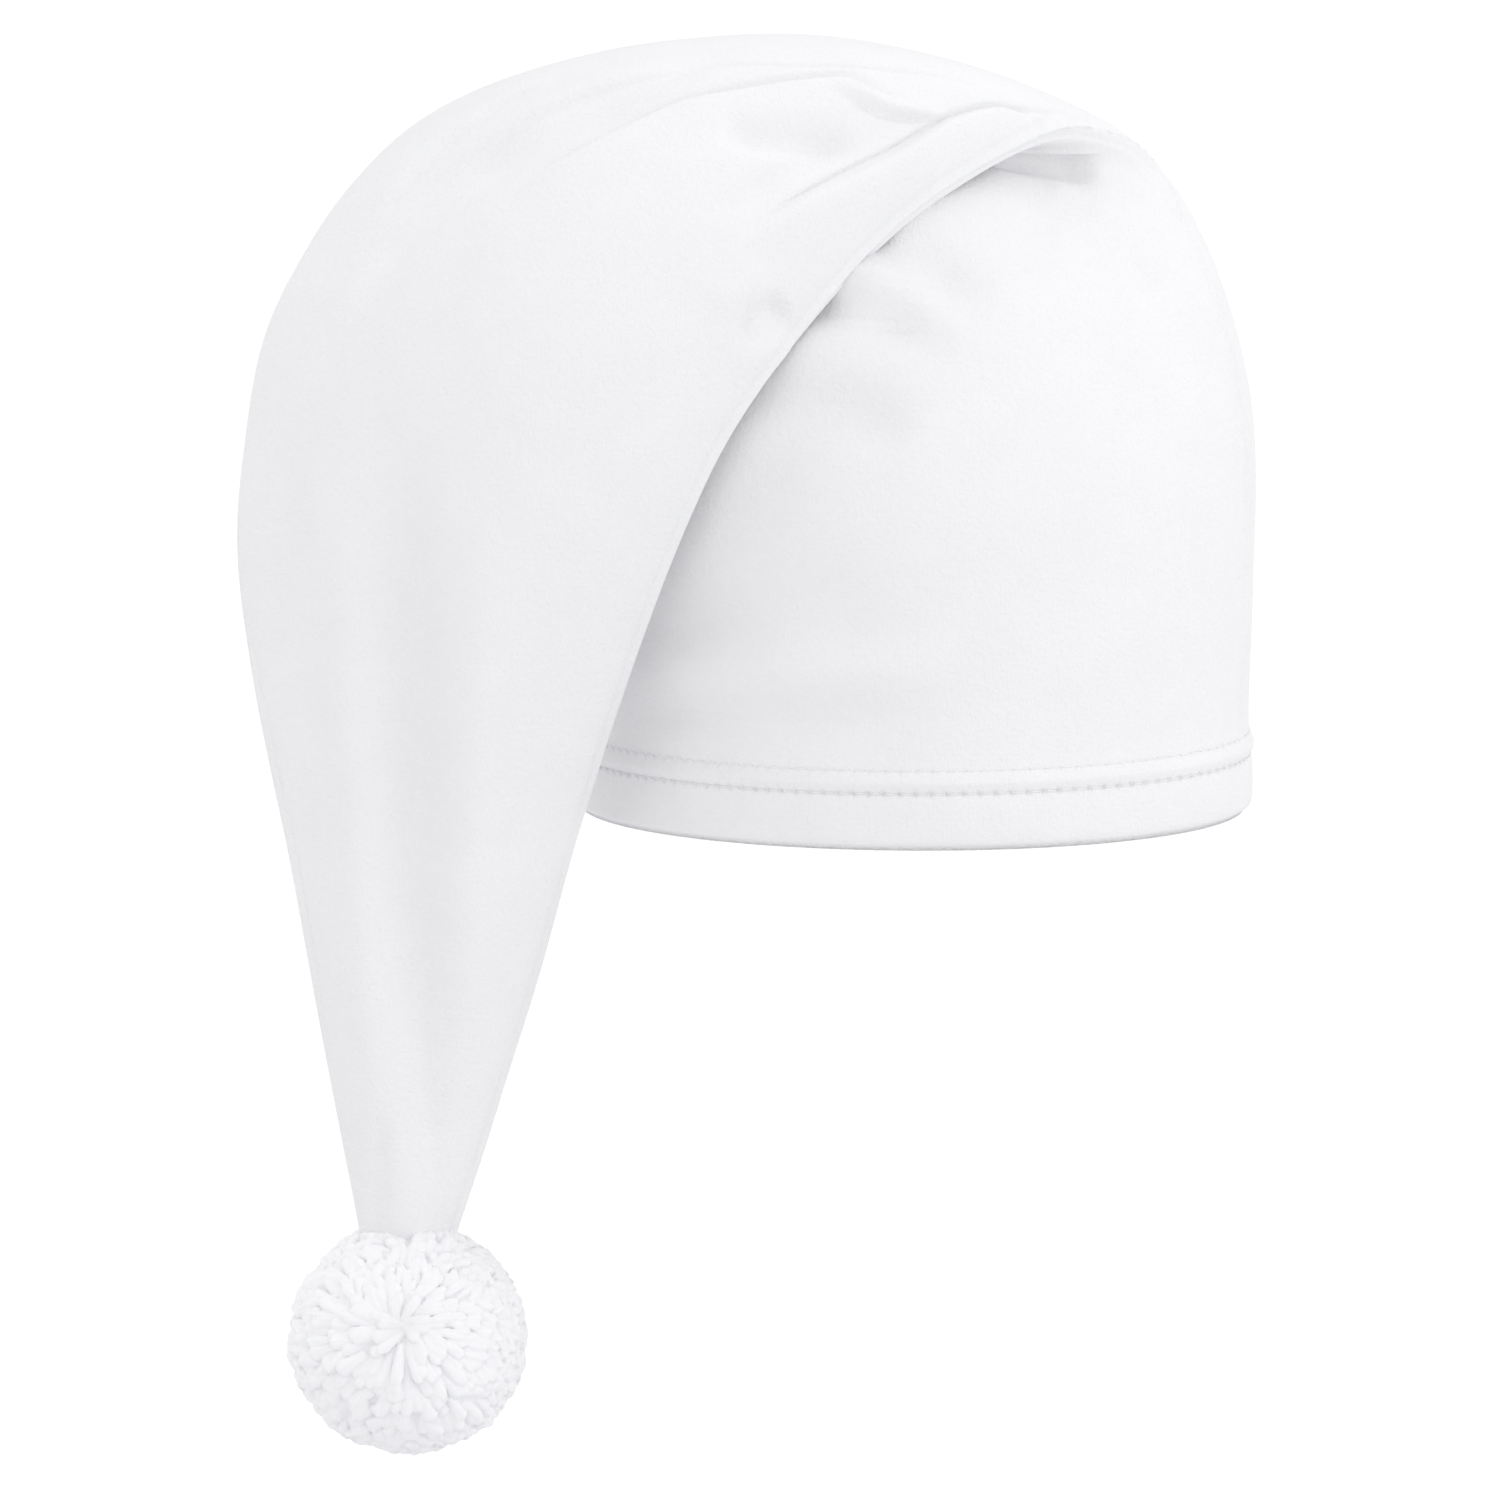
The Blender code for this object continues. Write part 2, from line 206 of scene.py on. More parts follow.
def smooth_between(rows, index, share):
    """The row a share of the way from one row to the next, on a smooth curve through them all."""
    before = rows[max(index - 1, 0)]
    start = rows[index]
    end = rows[index + 1]
    after = rows[min(index + 2, len(rows) - 1)]
    slope_in = (end - before) / 2
    slope_out = (after - start) / 2
    bend = (2 * share - 3) * share * share
    return (
        (1 + bend) * start
        - bend * end
        + share * (share - 1) ** 2 * slope_in
        + share * share * (share - 1) * slope_out
    )


def tube_sections(columns, rows):
    """Every ring's values, a dictionary of numbers by column, with the rows smoothly between."""
    values = [np.array(row[2:], dtype=float) for row in rows]
    found = []
    for index, row in enumerate(rows[:-1]):
        found += [smooth_between(values, index, step / row[1]) for step in range(row[1])]
    found.append(values[-1])
    return [dict(zip(columns[2:], ring)) for ring in found]


def loop_points(section, turns):
    """Points of a section: turn 0 is the seam, and a quarter turn is the over layer."""
    seam = np.array([section["seam_x"], section["seam_y"], section["seam_z"]])
    far = np.array([section["far_x"], section["far_y"], section["far_z"]])
    middle = (seam + far) / 2
    over = np.array([middle[0], section["over_y"], section["over_z"]])
    under = np.array([middle[0], section["under_y"], section["under_z"]])
    bow = (over + under) / 2 - middle
    across = np.cos(turns)[:, None]
    rise = np.sin(turns)[:, None]
    pressed = 1 - section["pinch"] * np.maximum(across, 0) ** 2
    return (
        middle
        + (seam - far) / 2 * across
        + bow * rise * rise
        + (over - under) / 2 * rise * pressed
    )


def start_mesh():
    """An empty mesh that has a place for the weave's coordinates."""
    bm = bmesh.new()
    bm.loops.layers.uv.new("UVMap")
    return bm


def sheet_grid(places, cloth):
    """A grid mesh with its points moved to places, and its weave laid out flat as UVs."""
    rows, columns = places.shape[:2]
    bm = start_mesh()
    bmesh.ops.create_grid(bm, x_segments=columns - 1, y_segments=rows - 1, size=0.5)
    weave = bm.loops.layers.uv.active
    spots = {}
    for vert in bm.verts:
        column = round((vert.co.x + 0.5) * (columns - 1))
        row = round((vert.co.y + 0.5) * (rows - 1))
        spots[vert] = (row, column)
    for face in bm.faces:
        for loop in face.loops:
            loop[weave].uv = cloth[spots[loop.vert]]
    for vert, spot in spots.items():
        vert.co = Vector(places[spot]) * MM
    return bm


def new_piece(name, bm, material):
    """A smooth object at the origin from a bmesh whose points are in their places."""
    mesh = bpy.data.meshes.new(name)
    bm.to_mesh(mesh)
    bm.free()
    mesh.materials.append(material)
    mesh.shade_smooth()
    piece = bpy.data.objects.new(name, mesh)
    bpy.context.scene.collection.objects.link(piece)
    return piece


def to_linear(code):
    """An sRGB hex colour as the linear colour that a socket takes."""
    linear = []
    for place in (1, 3, 5):
        part = int(code[place : place + 2], 16) / 255
        linear.append(part / 12.92 if part <= 0.04045 else ((part + 0.055) / 1.055) ** 2.4)
    return (*linear, 1.0)


def add_node(material, kind, settings=(), inputs=(), links=()):
    """A node with its settings, its sockets' values and its links from other nodes' outputs."""
    node = material.node_tree.nodes.new(kind)
    for name, value in dict(settings).items():
        setattr(node, name, value)
    for name, value in dict(inputs).items():
        node.inputs[name].default_value = value
    for name, output in dict(links).items():
        material.node_tree.links.new(output, node.inputs[name])
    return node


def new_material(name):
    """An empty material that has a Principled shader."""
    material = bpy.data.materials.new(name)
    material.use_nodes = True
    return material, material.node_tree.nodes["Principled BSDF"]


def finish_material(material, shader, colour, bump, **values):
    """Links colour and bump to the shader and sets the rest of its sockets."""
    links = material.node_tree.links
    links.new(colour, shader.inputs["Base Color"])
    links.new(bump, shader.inputs["Normal"])
    for name, value in values.items():
        shader.inputs[name.replace("_", " ")].default_value = value


def wave_scale(pitch):
    """The scale that gives a wave texture's bands this pitch, in the units of its vector."""
    return 2 * math.pi / 20 / pitch


WALE_PITCH = 1.1
COURSE_PITCH = 1.5
KNIT_DEPTH = 0.0003  # in metres, as the Bump node takes it


# Fine single jersey, knitted from white carded cotton. The wales are drawn a little coarser than
# the real 0.7 mm so that they show, and short fibres make the surface matte and slightly soft.
def jersey(name):
    material, shader = new_material(name)
    weave = add_node(material, "ShaderNodeUVMap", {"uv_map": "UVMap"})
    wales = add_node(
        material,
        "ShaderNodeTexWave",
        {"bands_direction": "X"},
        {"Scale": wave_scale(WALE_PITCH), "Distortion": 0.5, "Detail": 1.0, "Detail Scale": 0.6},
        {"Vector": weave.outputs["UV"]},
    )
    courses = add_node(
        material,
        "ShaderNodeTexWave",
        {"bands_direction": "Y"},
        {"Scale": wave_scale(COURSE_PITCH), "Distortion": 0.5, "Detail": 1.0, "Detail Scale": 0.6},
        {"Vector": weave.outputs["UV"]},
    )
    place = add_node(material, "ShaderNodeTexCoord")
    fuzz = add_node(
        material,
        "ShaderNodeTexNoise",
        {},
        {"Scale": 800.0, "Detail": 3.0, "Roughness": 0.6},
        {"Vector": place.outputs["Object"]},
    )
    patches = add_node(
        material,
        "ShaderNodeTexNoise",
        {},
        {"Scale": 60.0, "Detail": 3.0, "Roughness": 0.6},
        {"Vector": place.outputs["Object"]},
    )
    shade = add_node(
        material,
        "ShaderNodeValToRGB",
        {},
        {},
        {"Fac": patches.outputs["Fac"]},
    )
    shade.color_ramp.elements[0].position = 0.3
    shade.color_ramp.elements[0].color = to_linear("#EAEAEC")
    shade.color_ramp.elements[1].position = 0.7
    shade.color_ramp.elements[1].color = to_linear("#ECECEE")
    knit = add_node(
        material,
        "ShaderNodeBump",
        {},
        {"Strength": 0.06, "Distance": KNIT_DEPTH},
        {"Height": wales.outputs["Fac"]},
    )
    loops = add_node(
        material,
        "ShaderNodeBump",
        {},
        {"Strength": 0.05, "Distance": KNIT_DEPTH},
        {"Height": courses.outputs["Fac"], "Normal": knit.outputs["Normal"]},
    )
    nap = add_node(
        material,
        "ShaderNodeBump",
        {},
        {"Strength": 0.55, "Distance": 0.0006},
        {"Height": fuzz.outputs["Fac"], "Normal": loops.outputs["Normal"]},
    )
    finish_material(
        material,
        shader,
        shade.outputs["Color"],
        nap.outputs["Normal"],
        Roughness=0.95,
        IOR=1.45,
        Specular_IOR_Level=0.2,
        Sheen_Weight=0.15,
        Sheen_Roughness=0.5,
    )
    return material


# A fold's line is drawn as short straight runs, and it fades out over a share of them at each end.
RUNS_A_LINE = 48
END_SHARE = 0.3
FOLD_REACH = 3  # how many times its width a fold is worked out to
RINGS_UNDER_THE_FOLD = 40  # how far past the crease the under layer's folds go
STEP_RISE = 0.65
STEP_GROOVE = 0.8  # how far below a step its groove is, and how wide the groove is


def fold_profile(shape, width, gap):
    """How high a fold stands at a signed distance from its line, as a share of its height."""
    rounded = np.exp(-((gap / width) ** 2))
    if shape == "round":
        return rounded
    raised = gap if shape == "step above" else -gap
    rise = 0.5 + 0.5 * np.tanh(raised / STEP_RISE)
    groove = 0.5 * np.exp(-(((raised + STEP_GROOVE) / STEP_GROOVE) ** 2))
    return rise * rounded - groove


def fold_lift(spots, shown):
    """How far the folds lift each spot of the front view, on the layers that shown gives."""
    lift = np.zeros(len(spots))
    for row in FOLDS:
        fold = dict(zip(FOLD_COLUMNS, row))
        knots = [np.array(knot, dtype=float) for knot in fold["line"]]
        places = np.linspace(0, len(knots) - 1, RUNS_A_LINE + 1)
        picks = np.minimum(places.astype(int), len(knots) - 2)
        line = np.array([smooth_between(knots, pick, at - pick) for pick, at in zip(picks, places)])
        reach = FOLD_REACH * fold["width"]
        near = shown[fold["layer"]] & np.all(
            (spots > line.min(axis=0) - reach) & (spots < line.max(axis=0) + reach), axis=1
        )
        picked = spots[near]
        best = np.full(len(picked), 1e9)
        signed = np.zeros(len(picked))
        place = np.zeros(len(picked))
        for step in range(RUNS_A_LINE):
            run = line[step + 1] - line[step]
            offset = picked - line[step]
            along = np.clip(offset @ run / (run @ run), 0, 1)
            distance = np.linalg.norm(offset - along[:, None] * run, axis=1)
            side = np.sign(run[0] * offset[:, 1] - run[1] * offset[:, 0])
            closer = distance < best
            best = np.where(closer, distance, best)
            signed = np.where(closer, distance * side, signed)
            place = np.where(closer, (step + along) / RUNS_A_LINE, place)
        ramp = np.clip(np.minimum(place, 1 - place) / END_SHARE, 0, 1)
        fading = ramp * ramp * (3 - 2 * ramp)
        lift[near] += fold["height"] * fading * fold_profile(fold["shape"], fold["width"], signed)
    return lift


sections = tube_sections(SECTION_COLUMNS, SECTIONS)
around = OVER_COLUMNS + UNDER_COLUMNS
over_share = np.linspace(0, 1, OVER_COLUMNS + 1)
under_share = np.linspace(0, 1, UNDER_COLUMNS + 1)[-2::-1]
over_turns = math.pi * over_share - SEAM_CROWDING * np.sin(math.pi * over_share)
under_turns = math.pi * under_share - SEAM_CROWDING * np.sin(math.pi * under_share)
turns = np.concatenate([over_turns, 2 * math.pi - under_turns])
tube = np.array([loop_points(section, turns) for section in sections])
names = [row[0] for row in SECTIONS]
crease_ring = sum(row[1] for row in SECTIONS[: names.index("crease")])
tip_ring = len(sections) - 1

steps_round = np.linalg.norm(np.diff(tube, axis=1), axis=2)
round_lengths = np.concatenate([np.zeros((len(tube), 1)), np.cumsum(steps_round, axis=1)], axis=1)
far_column = OVER_COLUMNS
steps_along = np.linalg.norm(np.diff(tube[:, far_column], axis=0), axis=1)
along_lengths = np.concatenate([[0.0], np.cumsum(steps_along)])
cloth = np.stack(
    [
        round_lengths - round_lengths[:, far_column : far_column + 1],
        np.repeat(along_lengths[:, None], around + 1, axis=1),
    ],
    axis=2,
)

wrapped = np.concatenate([tube[:, -2:-1], tube, tube[:, 1:2]], axis=1)
run_round = wrapped[:, 2:] - wrapped[:, :-2]
run_along = np.gradient(tube, axis=0)
outward = np.cross(run_round, run_along)
outward /= np.linalg.norm(outward, axis=2)[:, :, None]
if outward[0, 0, 0] < 0:
    outward = -outward

ring_numbers = np.repeat(np.arange(len(tube))[:, None], around + 1, axis=1)
column_numbers = np.repeat(np.arange(around + 1)[None, :], len(tube), axis=0)
is_over = (column_numbers <= far_column) & (ring_numbers >= crease_ring)
is_under = (column_numbers > far_column) & (ring_numbers < crease_ring + RINGS_UNDER_THE_FOLD)
level_up = np.array([0, math.sin(CAMERA_RISE), math.cos(CAMERA_RISE)])
level_right = np.array([1, 0, 0])
photo_up = level_up * math.cos(CAMERA_ROLL) + level_right * math.sin(CAMERA_ROLL)
photo_right = level_right * math.cos(CAMERA_ROLL) - level_up * math.sin(CAMERA_ROLL)
photo_ahead = np.array([0, math.cos(CAMERA_RISE), -math.sin(CAMERA_RISE)])
photo_centre = PIXEL * (
    photo_right * (PHOTO_SIDE / 2 - OPENING_SPOT[0]) + photo_up * (OPENING_SPOT[1] - PHOTO_SIDE / 2)
)
camera_place = photo_centre - photo_ahead * CAMERA_DISTANCE
nearness = CAMERA_DISTANCE / ((tube - camera_place) @ photo_ahead)
front_view = np.stack(
    [
        (tube - camera_place) @ photo_right * nearness + photo_centre @ photo_right,
        (tube - camera_place) @ photo_up * nearness + photo_centre @ photo_up,
    ],
    axis=2,
)
in_sight = np.clip((outward @ -photo_ahead - OUTLINE_FACING) / OUTLINE_FACING, 0, 1)
lift = in_sight * fold_lift(
    front_view.reshape(-1, 2), {"over": is_over.reshape(-1), "under": is_under.reshape(-1)}
).reshape(len(tube), around + 1)

over_band = tube[:crease_ring, :, 2] - SWELL_START
lift[:crease_ring] *= np.clip((over_band - SWELL_RISE) / SWELL_FADE, 0, 1)

rings_to_crease = crease_ring - np.arange(len(tube))
seam_turns = SEAM_TURN * np.clip(rings_to_crease / SEAM_TURN_RINGS, 0, 1)
shifted = (turns[None, :] - seam_turns[:, None] + math.pi) % (2 * math.pi) - math.pi
seam_line = np.zeros(len(tube), dtype=int)
for number in range(len(tube)):
    seam_line[number] = int(np.argmin(np.abs(shifted[number])))
    lengths = round_lengths[number]
    girth = lengths[-1]
    middle = np.interp(seam_turns[number] % (2 * math.pi), turns, lengths)
    gap = np.abs((lengths - middle + girth / 2) % girth - girth / 2)
    ridge = SEAM_RIDGE * np.exp(-((gap / SEAM_WIDTH) ** 2))
    groove = GROOVE_DEPTH * np.exp(-(((gap - GROOVE_PLACE) / GROOVE_WIDTH) ** 2))
    lift[number] += ridge - groove

slack = np.zeros_like(lift)
for number, ring in enumerate(tube):
    fade = min(1, max(0, number - SLACK_FREE_RINGS) / SLACK_BRIM_RINGS)
    fade *= min(1, (tip_ring - number) / SLACK_TIP_RINGS)
    for column, point in enumerate(ring):
        slack[number, column] = SLACK_HEIGHT * fade * noise.noise(Vector(point) / SLACK_LENGTH)
slack[:, -1] = slack[:, 0]
swell = SWELL_ABOVE_BAND * np.clip(over_band / SWELL_RISE, 0, 1)
lift[:crease_ring] += swell * np.exp(-np.maximum(over_band, 0) / SWELL_FADE)
places = tube + outward * (lift + slack)[:, :, None]
places[:, -1] = places[:, 0]

# The inside lies under the lowest cloth near each of its points, so that no dent cuts through it.
outside = places + outward * WALL / 2
lift_round = lift[:, :-1]
lowest = lift_round
for shift in range(1, LINING_STEP + 1):
    beside = np.minimum(np.roll(lift_round, shift, 1), np.roll(lift_round, -shift, 1))
    lowest = np.minimum(lowest, beside)
for shift in range(1, LINING_STEP + 1):
    lowest[shift:] = np.minimum(lowest[shift:], lowest[:-shift])
    lowest[:-shift] = np.minimum(lowest[:-shift], lowest[shift:])
lowest = np.concatenate([lowest, lowest[:, :1]], axis=1)
inside = tube + outward * (lowest + slack - WALL / 2)[:, :, None]
inside = inside[::LINING_STEP, ::LINING_STEP]
inside[-1, :, 2] += WALL
lining = sheet_grid(inside, cloth[::LINING_STEP, ::LINING_STEP])
inside_mesh = bpy.data.meshes.new("inside")
lining.to_mesh(inside_mesh)
lining.free()
bm = sheet_grid(outside, cloth)
bm.from_mesh(inside_mesh)
bpy.data.meshes.remove(inside_mesh)
bmesh.ops.remove_doubles(bm, verts=bm.verts, dist=1e-6)

# Only the narrow ring between the brim's two edges is filled, and the head opening stays open. The
# tip is closed on both its layers.
open_edges = [edge for edge in bm.edges if edge.is_boundary]
brim = [edge for edge in open_edges if edge.verts[0].co.z > 0]
outer_tip = [edge for edge in open_edges if edge.verts[0].co.z < -TIP_DEPTH * MM]
inner_tip = [edge for edge in open_edges if edge not in brim and edge not in outer_tip]
bmesh.ops.triangle_fill(bm, use_beauty=True, edges=brim)
bmesh.ops.edgeloop_fill(bm, edges=outer_tip)
bmesh.ops.edgeloop_fill(bm, edges=inner_tip)
bmesh.ops.recalc_face_normals(bm, faces=bm.faces)
body = new_piece("nightcap_body", bm, jersey("white_cotton_jersey"))
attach(body, "root")
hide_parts("cap_body")

# The hem band: a strip of the same jersey folded double over the brim and coverstitched. The two
# rows of stitches pull it in, and the cloth between them stands up as a ridge.

STITCHES_ROUND = 141
STEPS_A_STITCH = 8
UPPER_ROW = 19.3
LOWER_ROW = 13.4

# The stitches pull the cloth in at their holes: each row's height and how deep it pulls, then how
# far up and down the pull reaches, and how far to the sides, in steps of the mesh.
STITCH_PULLS = ((LOWER_ROW, 0.9), (UPPER_ROW, 0.6))
PULL_WIDTH = 0.7
PULL_STEPS = 1.2
LIP_OUT = 1.2  # the cloth that is further out than this is the strip's front
BRIM_STEPS = 2000  # the brim is measured in so many steps

# The strip cut across: how far out from the middle of the body's wall, and how high.
BAND_COLUMNS = ("place", "rings", "out", "height")
BAND = (
    ("upper lip", 2, 0.8, 20.6),
    ("upper lip outside", 4, 1.2, 20.5),
    ("upper stitches", 8, 2.0, 19.3),
    ("ridge", 8, 3.1, 16.3),
    ("above the lower stitches", 6, 2.6, 14.4),
    ("lower stitches", 6, 2.15, 13.4),
    ("below the lower stitches", 6, 2.35, 12.4),
    ("swell", 8, 2.6, 8.5),
    ("turn of the edge", 5, 2.2, 1.2),
    ("lowest line", 5, 0.4, 0.0),
    ("inner turn", 4, -2.0, 1.2),
    ("inner layer", 3, -2.2, 18.5),
    ("inner lip", 2, -1.0, 18.5),
    ("floor inside", 2, -1.0, 1.0),
    ("floor outside", 3, 1.0, 1.0),
    ("upper lip again", 0, 0.8, 20.6),
)


def brim_frame(count):
    """The brim's points, evenly spaced, the outward directions there and the lengths so far."""
    fine = np.linspace(0, 2 * math.pi, BRIM_STEPS + 1)
    path = loop_points(sections[0], fine)
    lengths = np.concatenate([[0.0], np.cumsum(np.linalg.norm(np.diff(path, axis=0), axis=1))])
    wanted = np.linspace(0, lengths[-1], count + 1)
    points = np.stack([np.interp(wanted, lengths, path[:, axis]) for axis in range(3)], axis=1)
    points[:, 2] = 0
    runs = np.roll(points[:-1], -1, axis=0) - np.roll(points[:-1], 1, axis=0)
    runs = np.concatenate([runs, runs[:1]])
    outs = np.stack([runs[:, 1], -runs[:, 0], np.zeros(len(runs))], axis=1)
    outs /= np.linalg.norm(outs, axis=1)[:, None]
    return points, outs, wanted


profile = tube_sections(BAND_COLUMNS, BAND)
band_segments = STITCHES_ROUND * STEPS_A_STITCH
feet, outs, lengths = brim_frame(band_segments)
stitch_phase = np.arange(band_segments + 1) % STEPS_A_STITCH
from_hole = np.minimum(stitch_phase, STEPS_A_STITCH - stitch_phase)
at_hole = np.exp(-((from_hole / PULL_STEPS) ** 2))
band_places = []
band_cloth = []
profile_length = 0.0
for number, spot in enumerate(profile):
    pull = 0
    for row_height, depth in STITCH_PULLS:
        if spot["out"] > LIP_OUT:
            pull += depth * math.exp(-(((spot["height"] - row_height) / PULL_WIDTH) ** 2))
    out = spot["out"] - pull * at_hole
    ring = feet + outs * out[:, None]
    ring[:, 2] = spot["height"]
    band_places.append(ring)
    if number:
        before = profile[number - 1]
        profile_length += math.hypot(spot["out"] - before["out"], spot["height"] - before["height"])
    band_cloth.append(np.stack([lengths, np.full(len(lengths), profile_length)], axis=1))
band_places = np.array(band_places)
band_cloth = np.array(band_cloth)
bm = sheet_grid(band_places, band_cloth)
bmesh.ops.remove_doubles(bm, verts=bm.verts, dist=1e-6)
bmesh.ops.recalc_face_normals(bm, faces=bm.faces)
band = new_piece("hem_band_cloth", bm, jersey("doubled_cotton_jersey"))
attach(band, "root")
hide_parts("hem_band")

# The stitches: white spun polyester thread, about half a millimetre thick. Two rows hold the hem
# band, and one runs on the seam where it goes over the fold.

STITCH_THICKNESS = 0.5
HEM_STITCH_LENGTH = 3.1
HEM_STITCH_ROWS = ((UPPER_ROW, 2.05), (LOWER_ROW, 2.3))  # how high and how far out each row is
SEAM_STITCH_LENGTH = 2.6
SEAM_STITCH_PITCH = 4.0
SEAM_STITCH_RINGS = (2, 112)  # from how far past the crease to how far
SEAM_ENDS_FREE = 2.0


# Spun polyester sewing thread. Its twist breaks up the light, and it shines a little more than the
# jersey does.
def thread():
    material, shader = new_material("white_spun_polyester_thread")
    weave = add_node(material, "ShaderNodeUVMap", {"uv_map": "UVMap"})
    twist = add_node(
        material,
        "ShaderNodeTexWave",
        {"bands_direction": "DIAGONAL"},
        {"Scale": 2.0},
        {"Vector": weave.outputs["UV"]},
    )
    shade = add_node(material, "ShaderNodeValToRGB", {}, {}, {"Fac": twist.outputs["Fac"]})
    shade.color_ramp.elements[0].color = to_linear("#E4E4E8")
    shade.color_ramp.elements[1].color = to_linear("#F6F6F8")
    bump = add_node(
        material,
        "ShaderNodeBump",
        {},
        {"Strength": 0.4, "Distance": 0.0001},
        {"Height": twist.outputs["Fac"]},
    )
    finish_material(
        material,
        shader,
        shade.outputs["Color"],
        bump.outputs["Normal"],
        Roughness=0.7,
        IOR=1.5,
        Sheen_Weight=0.1,
    )
    return material


def ball_shape(around, along):
    """A small ball as a mesh that is moved and stretched for each copy, with its points at rest."""
    bm = start_mesh()
    bmesh.ops.create_uvsphere(bm, u_segments=around, v_segments=along, radius=0.5, calc_uvs=True)
    shape = bpy.data.meshes.new("one_shape")
    bm.to_mesh(shape)
    bm.free()
    rest = np.array([vert.co for vert in shape.vertices])
    return shape, rest


def add_copy(bm, shape, rest, middle, side, flat, along):
    """A copy of a small shape, with its three axes laid along these lengths."""
    points = rest @ np.array((side, flat, along)) + np.array(middle)
    shape.vertices.foreach_set("co", points.ravel())
    bm.from_mesh(shape)


def add_stitch(bm, middle, along, out, length):
    """One stitch: a slim bead of thread that lies along the cloth."""
    side = out.cross(along).normalized()
    add_copy(
        bm,
        stitch_shape,
        stitch_rest,
        middle,
        side * STITCH_THICKNESS * MM,
        out * STITCH_THICKNESS * MM,
        along * length * MM,
    )


thread_material = thread()
stitch_shape, stitch_rest = ball_shape(6, 5)
bm = start_mesh()
feet, outs, lengths = brim_frame(STITCHES_ROUND)
for number in range(STITCHES_ROUND):
    foot = Vector((feet[number] + feet[number + 1]) / 2)
    out = Vector(outs[number] + outs[number + 1]).normalized()
    along = Vector(feet[number + 1] - feet[number]).normalized()
    for height, stand in HEM_STITCH_ROWS:
        middle = (foot + out * stand + Vector((0, 0, height))) * MM
        add_stitch(bm, middle, along, out, HEM_STITCH_LENGTH)
hem_stitches = new_piece("hem_stitches", bm, thread_material)
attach(hem_stitches, "root")

bm = start_mesh()
seam_path = [places[number, seam_line[number]] for number in range(len(tube))]
seam_outs = [outward[number, seam_line[number]] for number in range(len(tube))]
stitched = slice(crease_ring + SEAM_STITCH_RINGS[0], crease_ring + SEAM_STITCH_RINGS[1])
run = np.array(seam_path[stitched])
run_outs = np.array(seam_outs[stitched])
run_lengths = np.concatenate([[0.0], np.cumsum(np.linalg.norm(np.diff(run, axis=0), axis=1))])
for place in np.arange(SEAM_ENDS_FREE, run_lengths[-1] - SEAM_ENDS_FREE, SEAM_STITCH_PITCH):
    ends = [
        Vector([np.interp(place + shift, run_lengths, run[:, axis]) for axis in range(3)])
        for shift in (-1.0, 0.0, 1.0)
    ]
    out = Vector([np.interp(place, run_lengths, run_outs[:, axis]) for axis in range(3)])
    out.normalize()
    along = (ends[2] - ends[0]).normalized()
    out = (out - along * out.dot(along)).normalized()
    middle = (ends[1] + out * WALL / 2) * MM
    add_stitch(bm, middle, along, out, SEAM_STITCH_LENGTH)
bpy.data.meshes.remove(stitch_shape)
seam_stitches = new_piece("seam_stitches", bm, thread_material)
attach(seam_stitches, "root")

# The pompom: soft white yarn wound, tied around the tail's gathered tip and cut, so that the ends
# spread into a ball of thick petals that lie over each other away from its front middle.

POMPOM_CENTRE = Vector((-134, -50, -132))
POMPOM_RADIUS = 31.5
PARTING = Vector((0, -0.95, 0.31)).normalized()
COARSE_SIDE = Vector((-0.62, -0.3, -0.72)).normalized()
LOCKS = 1900
BALL_MERIDIANS = 420
BALL_RINGS = 220
CORE_RADIUS = 27.6
LEAST_HEIGHT = 1.8
LOWER_SQUASH = 0.06

# The locks lie in rows around the parting, a little off their places and off their directions. The
# coarse ones are on one side, with a ragged border, and keep their directions better.
SEED = 11  # of the random draws and of noise_vector, which starts from the clock without it
LOOSENESS = 0.07
STRAY = 0.35
WANDER = 0.8
WANDER_PITCH = 2.6
COARSE_FROM = 0.1
COARSE_BORDER = 0.15
BORDER_PITCH = 3
COARSE_WANDER = 0.6
FORESHORTENING = 0.6  # the power by which locks get shorter away from the parting
# A lock's sizes: its least length, and from how much to how much longer it is, its root's height,
# its slope, its rounding and its width. Coarse locks are thick and apart, and fine ones close.
COARSE_LOCK = (6, (2, 8), (0.2, 1.2), (1.8, 2.4), (1.1, 1.6), (2.8, 4.6))
FINE_LOCK = (3.5, (3, 7), (1.2, 1.8), (1.2, 1.6), (0.6, 0.8), (2.0, 3.0))

# Around the tail's end, above this height, the locks stand up: their length, width, slope and
# rounding, and from how much to how much their roots' height is.
NECK_HEIGHT = 0.84
NECK_LOCK = (6, 2.8, 1.6, 0.9)
NECK_ROOT = (0.8, 2.2)

# A lock is narrower at its root than at its free end, which is rounded over the last part of it.
ROOT_WIDTH = 0.72
WIDENING = 0.56
ROUNDED_FROM = 0.22
ROUNDED_OVER = 0.28


